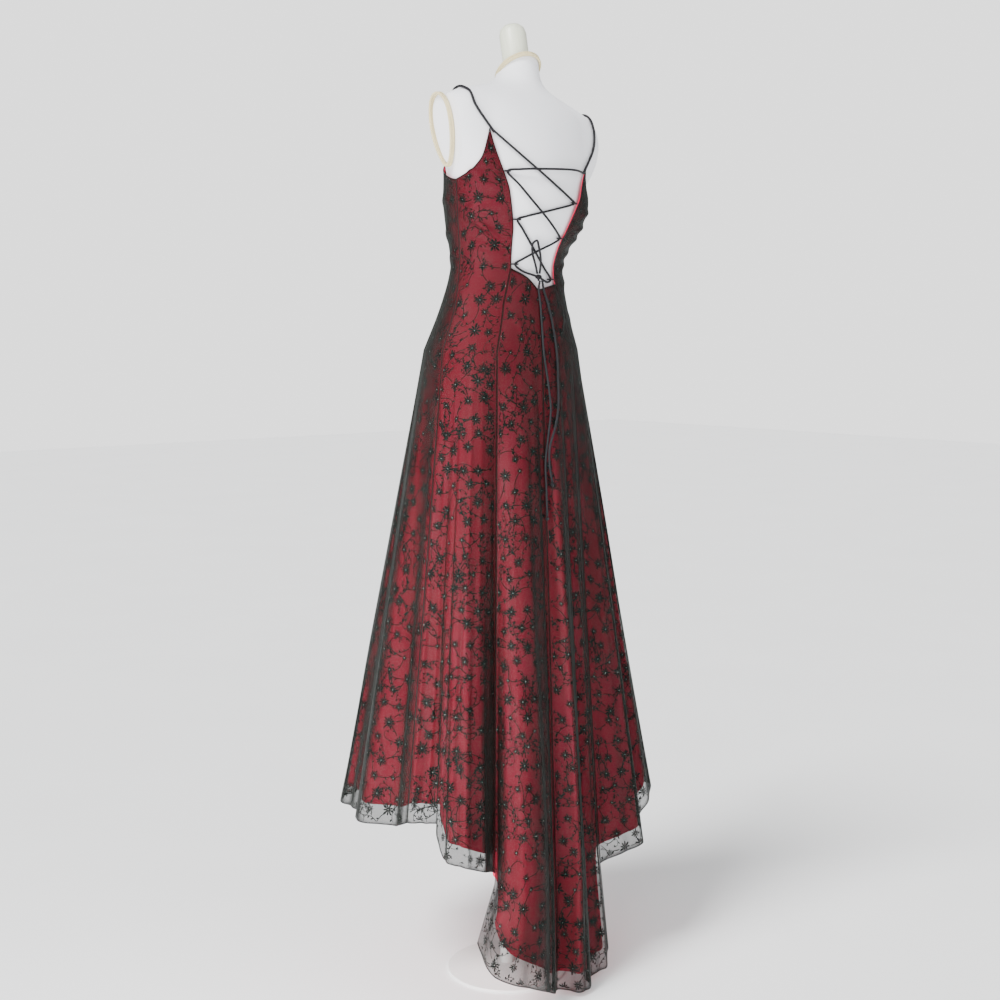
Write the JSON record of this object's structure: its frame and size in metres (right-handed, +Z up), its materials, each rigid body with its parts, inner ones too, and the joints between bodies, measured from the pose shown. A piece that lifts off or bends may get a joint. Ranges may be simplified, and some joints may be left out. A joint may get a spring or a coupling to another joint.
{
  "type": "prom dress on a limbless dress form",
  "caption": "Long strappy prom dress of sheer dark organza over red satin, with a laced open back and a short train, on a limbless dress form with a stand.",
  "frame": {"origin": "middle of the underside of the stand's foot, on the floor", "axes": "+Z up, the figure faces -Y, its left side is +X"},
  "size_m": [0.6503, 0.5893, 1.9748],
  "materials": {
    "organza": "sheer dark organza with raised flower motifs",
    "satin": "crimson satin",
    "cord": "smooth black cord",
    "jersey": "white stretched jersey",
    "braid": "cream braid",
    "paint": "satin white paint"
  },
  "bodies": {
    "root": {"overlay_centre_back_left": "organza", "overlay_centre_back_right": "organza", "overlay_side_back_left": "organza", "overlay_side_back_right": "organza", "overlay_side_front_left": "organza", "overlay_side_front_right": "organza", "overlay_front": "organza", "lining_centre_back_left": "satin", "lining_centre_back_right": "satin", "lining_side_back_left": "satin", "lining_side_back_right": "satin", "lining_side_front_left": "satin", "lining_side_front_right": "satin", "lining_front": "satin", "strap_left": "cord", "strap_right": "cord", "lace_from_left": "cord", "lace_from_right": "cord", "edge_loop_left_upper": "cord", "edge_loop_left_middle": "cord", "edge_loop_left_lower": "cord", "edge_loop_right_upper": "cord", "edge_loop_right_middle": "cord", "edge_loop_right_lower": "cord", "lace_knot": "cord", "bow_loop": "cord", "lace_long_end": "cord", "lace_long_tip": "cord", "lace_short_end": "cord", "lace_short_tip": "cord", "form_torso": "jersey", "form_arm_plate_left": "jersey", "form_arm_plate_right": "jersey", "form_arm_trim_left": "braid", "form_arm_trim_right": "braid", "form_neck_band": "braid", "form_neck_cap": "jersey", "stand_pole": "paint", "stand_foot": "paint"}
  },
  "joints": []
}
